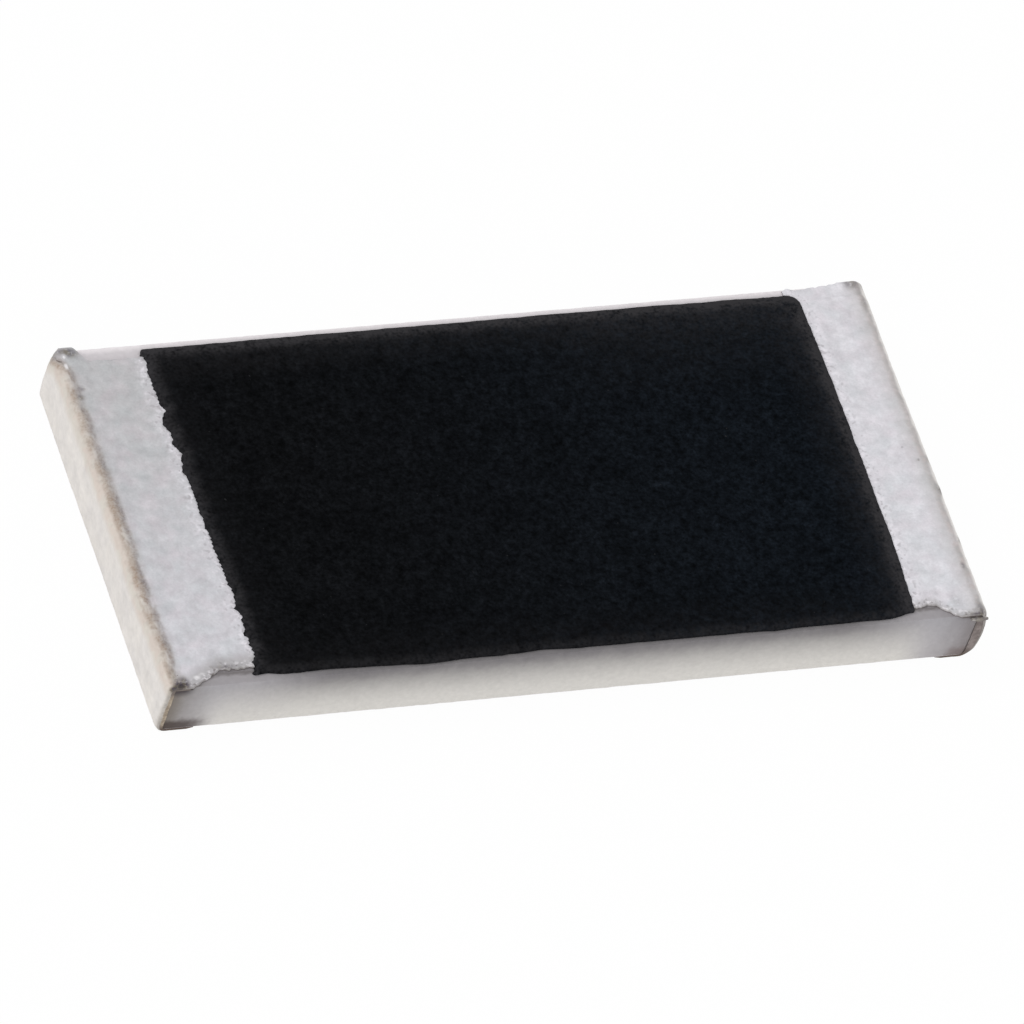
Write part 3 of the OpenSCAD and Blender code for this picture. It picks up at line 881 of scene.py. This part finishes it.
def alumina_material():
    """White ceramic; painted shade and light on its side faces, and darker, browner ends."""
    s = Shader("alumina")
    x, y, z = (s.axis(letter) for letter in "XYZ")
    coat_middle = 0.08
    white = s.mix(s.noise(0.5), (236, 230, 233), (228, 223, 225))
    # Painted shade and light on the side faces: dark under the coat and prints, which keep light
    # out of the translucent ceramic, and painted lighter towards the bottom for light from the
    # floor
    level = s.fade(s.wander(z, s.noise(0.1), 0.05), CERAMIC_Z0, CERAMIC_Z1, "LINEAR")
    covered = s.band(x, coat_middle, 2.68, 1.9)
    high = s.math("POWER", level, s.math("ADD", s.product(covered, 0.5), 1.0))
    end = s.math("MAXIMUM", s.fade(x, -2.62, -2.96), s.fade(x, 2.52, 2.82))
    painted_shade = s.mix(covered, (162, 159, 162), (116, 113, 115))
    lit = s.mix(end, (218, 215, 210), (184, 180, 182))
    shade = s.mix(high, lit, s.mix(end, painted_shade, (164, 162, 166)))
    front = s.fade(y, 0.015 - PRINT_HALF, -PRINT_HALF)
    side = s.math("MAXIMUM", front, s.fade(y, SIDE_Y - 0.012, SIDE_Y - 0.004))
    side = s.product(side, s.fade(z, CERAMIC_Z0, CERAMIC_Z0 + 0.004))
    # Painted shade on the top's back margin, darker towards the coat
    by_back = s.product(s.fade(y, 1.54, 1.48), s.math("ADD", s.product(covered, 0.15), 0.45))
    by_back = s.product(by_back, s.fade(z, CERAMIC_Z0 + 0.1, CERAMIC_Z1 - 0.1))
    colour = s.mix(side, s.tinted(white, (166, 162, 166), by_back), shade)
    # Painted shade on the bare front margins beside the prints, as on the front face, and along
    # the metal a dark line, partly stain and partly a painted contact shadow
    uncovered = s.band(x, coat_middle, 2.35, 2.5)
    margin = s.product(front, s.fade(y, -1.545, -1.53), uncovered)
    colour = s.tinted(colour, (154, 150, 153), margin, 0.85)
    seam = s.band(s.wander(y, s.noise(0.05), 0.05), -1.445, 0.038, 0)
    colour = s.tinted(colour, (98, 93, 92), seam, margin, 0.7)
    colour = s.mottled(side_stains_and_shade(s, colour, side, level), 0.12, 0.04, 3)
    return s.finish(colour, 0.6, 0, 0.2, s.bump(0.02, 3, 0.001, 0.6))


# The top of each terminal: its shade at the back and at the front, painted as the light fell,
# the left darker than the right and darker at its back; where the painted shade along the
# front edge begins and is full, inwards from that edge, and how strong that shade is
TIN_TOPS = {
    LEFT: ((186, 185, 187), (204, 203, 208), (0.17, 0.05), 0.75),
    RIGHT: ((214, 212, 217), (215, 214, 219), (0.09, 0.02), 0.6),
}
# Lighter and darker tarnish on the cut edges of the tin, and then of the layers under it; the
# left end's are painted lighter and the right end's darker, as the light fell
WALL_SHADES = {
    LEFT: ((216, 204, 188), (170, 158, 144)),
    RIGHT: ((116, 105, 101), (82, 73, 71)),
}
LAYER_SHADES = {
    "left_nickel": ((200, 190, 176), (156, 144, 130)),
    "left_end_paste": ((186, 172, 154), (142, 128, 112)),
    "right_nickel": ((139, 129, 125), (103, 94, 91)),
    "right_end_paste": ((142, 132, 129), (110, 100, 97)),
}


def tin_top(s, side):
    """Matte grey of the top, its level painted as lit; paler beside the coat, with painted
    sparkle, and painted shade along the front edge.
    """
    y = s.axis("Y")
    by_back, by_front, shade_band, shade_strength = TIN_TOPS[side]
    top = s.mix(s.fade(y, 1.5, -1.5), by_back, by_front)
    top = s.tinted(top, (210, 190, 200), s.fade(s.noise(0.16, 2), 0.4, 0.7), 0.16)
    top = s.tinted(top, (176, 190, 192), s.fade(s.noise(0.18, 2, shift=4), 0.4, 0.7), 0.16)
    top = s.mottled(top, 0.22, 0.11, 2, 5)
    top = s.mottled(top, 0.12, 0.05, 3)
    top = s.mottled(top, 0.12, 0.016, 2, 3)
    # Where the coat was printed over it the metal is paler and grainy, with painted sparkle
    edge = s.fade(s.attribute("coat_gap"), 0.14, 0)
    sparkle = s.fade(s.noise(0.04, 1), 0.45, 0.75)
    pore = s.fade(s.noise(0.035, 1, shift=7), 0.55, 0.7)
    top = s.tinted(top, (218, 216, 222), edge, 0.35)
    top = s.tinted(top, (240, 237, 243), edge, sparkle, 0.7)
    top = s.tinted(top, (146, 140, 144), edge, pore, 0.5)
    # Along the front edge: painted shade, with painted bright glints and dark flecks
    side_gap = s.attribute("side_gap")
    flecked = s.product(s.fade(side_gap, 0.09, 0.02), s.fade(y, -1.3, -1.38))
    glint = s.fade(s.noise(0.035, 1, shift=11), 0.55, 0.68)
    painted_shade = s.product(s.fade(side_gap, *shade_band), s.fade(y, -1.2, -1.3), shade_strength)
    top = s.tinted(top, (168, 165, 166), painted_shade)
    top = s.tinted(top, (236, 233, 237), flecked, glint, 0.65)
    return s.tinted(top, (112, 104, 104), flecked, pore, 0.7)


def left_brow(s, colour, line_at, broken):
    """Broken brown crease along the left brow, partly stain and pits and partly painted shade
    where the rounded brow turns from the light, with warm metal on both sides.
    """
    brown = s.mix(s.fade(line_at, -0.05, 0.015), (148, 126, 108), (122, 114, 112))
    patch = s.noise(0.06, 3, shift=6)
    brown = s.tinted(brown, (168, 156, 146), s.fade(patch, 0.4, 0.65), 0.5)
    around = s.band(line_at, -0.03, 0.1, 0.01)
    core = s.band(line_at, -0.025, 0.062, 0.028)
    warm = s.band(line_at, -0.1, 0.1, 0.01)
    crumb = s.fade(s.noise(0.04, 1, shift=12), 0.48, 0.7)
    tint = s.mix(s.fade(s.noise(0.1, 1, shift=15), 0.4, 0.6), (202, 184, 170), (196, 188, 174))
    strength = s.math("ADD", s.product(s.fade(s.noise(0.3, 1, shift=17), 0.35, 0.6), 0.4), 0.5)
    strength = s.math("ADD", strength, s.product(s.fade(s.noise(0.018, 1), 0.4, 0.65), 0.4))
    colour = s.mix(s.product(warm, 0.5), colour, tint)
    # A soft painted shade round the crease, and its brown core, partly stain and partly painted
    # shade
    colour = s.tinted(colour, (160, 150, 140), around, 0.3)
    colour = s.mix(s.product(core, broken, strength, 0.62), colour, brown)
    colour = s.tinted(colour, (116, 98, 88), around, crumb, 0.2)
    turned = s.fade(s.attribute("side_gap"), 0.035, 0)
    below = s.fade(s.attribute("rim"), -0.02, -0.1)
    return s.tinted(colour, (156, 146, 132), turned, below, s.fade(s.axis("Y"), 0.5, -0.5), 0.35)


def right_brow(s, colour, line_at):
    """Greyish brow of the right end, partly tarnish and partly painted shade where it turns from
    the light, over its end face, which is painted pale as light.
    """
    brown = s.fade(s.noise(0.06, 3, shift=6), 0.35, 0.65)
    brown = s.mix(brown, (178, 160, 152), (150, 146, 140))
    around = s.product(s.fade(line_at, 0.2, 0.03), s.fade(line_at, -0.03, 0.02))
    core = s.band(line_at, 0.028, 0.045, 0)
    colour = s.tinted(colour, (178, 172, 168), around, 0.42)
    colour = s.mix(s.product(core, s.fade(s.noise(0.06, 2), 0.1, 0.6), 0.42), colour, brown)
    # Painted light on the end face and the brow's lower edge, which turn away from the lamps
    painted_light = s.product(s.fade(line_at, 0.025, -0.01), s.fade(line_at, -1.4, -0.08))
    colour = s.tinted(colour, (240, 237, 232), painted_light, 0.85)
    turned = s.fade(s.attribute("side_gap"), 0.1, 0.03)
    return s.tinted(colour, (114, 104, 100), turned, s.fade(s.attribute("rim"), 0.02, -0.05), 0.8)


def tin_stains_shade_glints(s, colour):
    """Dark stains, some a painted shadow, and the painted highlights of the blemishes."""
    stain_shade_glint = s.attribute("stain_shade_glint")
    dark = s.mix(s.fade(s.noise(0.04, 2, shift=8), 0.4, 0.6), (104, 96, 82), (70, 62, 72))
    amount = s.product(s.fade(stain_shade_glint, 0.05, 0.9), s.fade(s.noise(0.03, 3, shift=1), 0.2, 0.55))
    colour = s.mix(amount, colour, dark)
    patchy = s.fade(s.noise(0.035, 3, shift=3), 0.25, 0.5)
    colour = s.tinted(colour, (46, 40, 44), s.fade(stain_shade_glint, 0.7, 1.3), patchy, 0.8)
    return s.tinted(colour, (240, 238, 240), s.fade(stain_shade_glint, -0.05, -0.5), 0.8)


def tin_cut_edge(s, side, colour, broken):
    """Tarnish of the metal's cut edge, with painted shade near the floor and darker near its top,
    and a painted shade in crumbs along the top of its front edge.
    """
    side_gap = s.attribute("side_gap")
    lip = s.fade(side_gap, 0.02, 0)
    colour = s.tinted(colour, (120, 114, 108), lip, s.fade(s.axis("Y"), 1.2, 0.8), broken, 0.5)
    wall = s.fade(side_gap, -0.001, -0.006)
    tarnish_and_shade = s.mix(s.fade(s.noise(0.06, 3, shift=5), 0.35, 0.65), *WALL_SHADES[side])
    tarnish_and_shade = s.tinted(tarnish_and_shade, (90, 76, 68), s.fade(s.axis("Z"), 0.14, 0.04))
    tarnish_and_shade = s.tinted(tarnish_and_shade, (112, 104, 104), s.fade(s.axis("Z"), 0.42, 0.48))
    return s.mix(s.product(wall, 0.9), colour, tarnish_and_shade)


def tin_material(side):
    """Matte tin: grained grey on the top, warm on the end face, brown along the brow; light and
    shade are painted into the top, the brow and the right end face.
    """
    s = Shader("left_tin" if side == LEFT else "right_tin")
    face = s.mix(s.noise(0.2, 2, shift=9), (224, 219, 213), (212, 208, 206))
    face = s.mottled(face, 0.16, 0.1, 2, 5)
    face = s.mottled(face, 0.08, 0.03, 2)
    line_at = s.wander(s.attribute("rim"), s.noise(0.12, 2, (0.4, 1, 0.4)), 0.03)
    colour = s.mix(s.fade(line_at, -0.05, 0.01), face, tin_top(s, side))
    broken = s.fade(s.noise(0.07, 3, (1, 0.5, 1), shift=2), 0.3, 0.55)
    if side == LEFT:
        colour = left_brow(s, colour, line_at, broken)
    else:
        colour = right_brow(s, colour, line_at)
    colour = tin_cut_edge(s, side, tin_stains_shade_glints(s, colour), broken)
    return s.finish(colour, 0.6, 0.15, 0.3, s.bump(0.02, 3, 0.0015, 0.5))


def layer_material(name):
    """Metal layer that shows only at its cut edges, where it has tarnished; painted shade darkens
    it near the floor, and it is darker near its top.
    """
    s = Shader(name)
    colour = s.mix(s.fade(s.noise(0.05, 3), 0.3, 0.7), *LAYER_SHADES[name])
    colour = s.tinted(colour, (92, 78, 70), s.fade(s.axis("Z"), 0.11, 0.03))
    colour = s.tinted(colour, (98, 90, 88), s.fade(s.axis("Z"), 0.36, 0.47), 0.85)
    colour = s.scaled(colour, 0.8, 1.15, s.noise(0.015, 2))
    return s.finish(colour, 0.6, 0.3, 0.3, s.bump(0.012, 2, 0.001, 1))


def coat_material():
    """Black overcoat with a fine grain and a thin greyish rim."""
    s = Shader("overcoat")
    # Painted light: lighter towards the right, as the light fell; also darker towards the front
    colour = s.mix(s.fade(s.axis("X"), -2.2, 2.4), (11, 12, 14), (13, 17, 22))
    colour = s.scaled(colour, 0.82, 1.0, s.fade(s.axis("Y"), -1.4, -1.0))
    colour = s.scaled(colour, 0.35, 1.65, s.fade(s.noise(0.022, 3), 0.25, 0.75, "LINEAR"))
    colour = s.scaled(colour, 0.35, 1.65, s.fade(s.noise(0.055, 2, shift=4), 0.25, 0.75, "LINEAR"))
    colour = s.mottled(colour, 0.5, 0.2, 2, 6)
    patchy = s.fade(s.wander(s.noise(0.025, 3), s.noise(0.1, 2, shift=2), 0.6), 0.05, 0.85)
    colour = s.tinted(colour, (52, 51, 53), s.attribute("fringe"), patchy, 1.5)
    speck = s.fade(s.noise(0.03, 1, shift=9), 0.77, 0.83)
    colour = s.tinted(colour, (46, 46, 48), speck, 0.6)
    return s.finish(colour, 0.8, 0, 0.02, s.bump(0.02, 3, 0.001, 0.5))


def plain_layer(name, light, dark, roughness, metallic=0):
    """Inner layer that other layers cover."""
    s = Shader(name)
    colour = s.mix(s.noise(0.08, 3), light, dark)
    return s.finish(colour, roughness, metallic, 0.5, s.bump(0.02, 2, 0.001, 1))


def dress(node, material):
    """Gives a carried-over CAD node its material."""
    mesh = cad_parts[node].data
    if not mesh.materials:
        mesh.materials.append(material)
    for index in range(len(mesh.materials)):
        mesh.materials[index] = material


def floor_piece():
    """Pale floor that stays white in the picture but for a faint shadow."""
    mesh = bpy.data.meshes.new("floor")
    corners = ((-1, -1), (1, -1), (1, 1), (-1, 1))
    points = [(x * FLOOR_HALF, y * FLOOR_HALF, 0) for x, y in corners]
    mesh.from_pydata(points, [], [(0, 1, 2, 3)])
    material = bpy.data.materials.new("floor")
    s = Nodes(material, "ShaderNodeOutputMaterial")
    matte = s.add("ShaderNodeBsdfDiffuse", {"Color": FLOOR_GREY})
    s.show_white("ShaderNodeEmission", FLOOR_GLOW, matte)
    mesh.materials.append(material)
    floor = in_scene("floor", mesh)


def world_light():
    """Even sky light on the part, plain white behind it."""
    world = bpy.data.worlds.new("world")
    bpy.context.scene.world = world
    s = Nodes(world, "ShaderNodeOutputWorld")
    sky = s.add("ShaderNodeBackground", {"Color": WHITE, "Strength": SKY_LEVEL})
    s.show_white("ShaderNodeBackground", 1, sky)


def towards(azimuth, elevation):
    """Direction from the chip at an azimuth from its front and an elevation, in degrees."""
    a = math.radians(azimuth)
    e = math.radians(elevation)
    return np.array([math.sin(a) * math.cos(e), -math.cos(a) * math.cos(e), math.sin(e)])


def soft_lamp(name, azimuth, elevation, level, size):
    """Square soft box that would light a face turned to it at this level."""
    data = bpy.data.lights.new(name, "AREA")
    data.size = size
    data.energy = level * (math.pi * LAMP_DISTANCE) ** 2
    lamp = in_scene(name, data)
    lamp.location = towards(azimuth, elevation) * LAMP_DISTANCE
    lamp.rotation_euler = (-lamp.location).to_track_quat("-Z", "Y").to_euler()


def photo_camera():
    """Camera at the photograph's place, turned as it was."""
    roll = math.radians(CAMERA_ROLL)
    back = towards(CAMERA_AZIMUTH, CAMERA_ELEVATION)
    level = np.cross(-back, (0, 0, 1))
    level /= np.linalg.norm(level)
    upright = np.cross(back, level)
    right = math.cos(roll) * level + math.sin(roll) * upright
    up = -math.sin(roll) * level + math.cos(roll) * upright
    place = back * CAMERA_DISTANCE + right * CAMERA_SHIFT[0] + up * CAMERA_SHIFT[1]
    place = (place + (0, 0, LOOK_AT_Z)) * MM
    data = bpy.data.cameras.new("photo_camera")
    data.sensor_width = CAMERA_SENSOR
    data.lens = CAMERA_LENS
    data.clip_start = 0.01
    data.clip_end = 10
    camera = in_scene("photo_camera", data)
    turn = np.eye(4)
    turn[:3] = np.column_stack([right, up, back, place])
    camera.matrix_world = Matrix(turn.tolist())
    bpy.context.scene.camera = camera


photo_camera()
floor_piece()
world_light()
for name, settings in LAMPS.items():
    soft_lamp(name, *settings)

bare = (0, 0)
pasted = (PASTE_T, 0)
nickelled = (PASTE_T, NICKEL_T)
tinned = (PASTE_T, PLATING_T)
for side, name in ((LEFT, "left"), (RIGHT, "right")):
    skin = shell(side, tinned, nickelled, True)
    if side == RIGHT:
        skin = with_burr(*skin)
    piece = build(name + "_tin_skin", skin, tin_material(side), WRAP_SHARP)
    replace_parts(piece, name + "_tin_plating")
    skin = shell(side, nickelled, pasted, False)
    piece = build(name + "_nickel_skin", skin, layer_material(name + "_nickel"), WRAP_SHARP)
    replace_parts(piece, name + "_nickel_barrier")
    skin = shell(side, pasted, bare, False)
    paste = layer_material(name + "_end_paste")
    piece = build(name + "_paste_wrap", skin, paste, WRAP_SHARP)
    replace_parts(piece, name + "_end_termination")
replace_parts(coat_piece(coat_material()), "overcoat")
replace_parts(ceramic_piece(alumina_material()), "substrate")

silver = plain_layer("electrode_silver", (190, 188, 182), (160, 156, 150), 0.5, 0.6)
for side in ("left", "right"):
    dress(side + "_top_electrode", silver)
    dress(side + "_bottom_electrode", silver)
dress("resistor_film", plain_layer("resistor_film", (44, 44, 48), (30, 30, 34), 0.5))
dress("glass_coat", plain_layer("glass_coat", (140, 150, 138), (118, 130, 118), 0.25))

bpy.context.scene.view_settings.view_transform = "Standard"
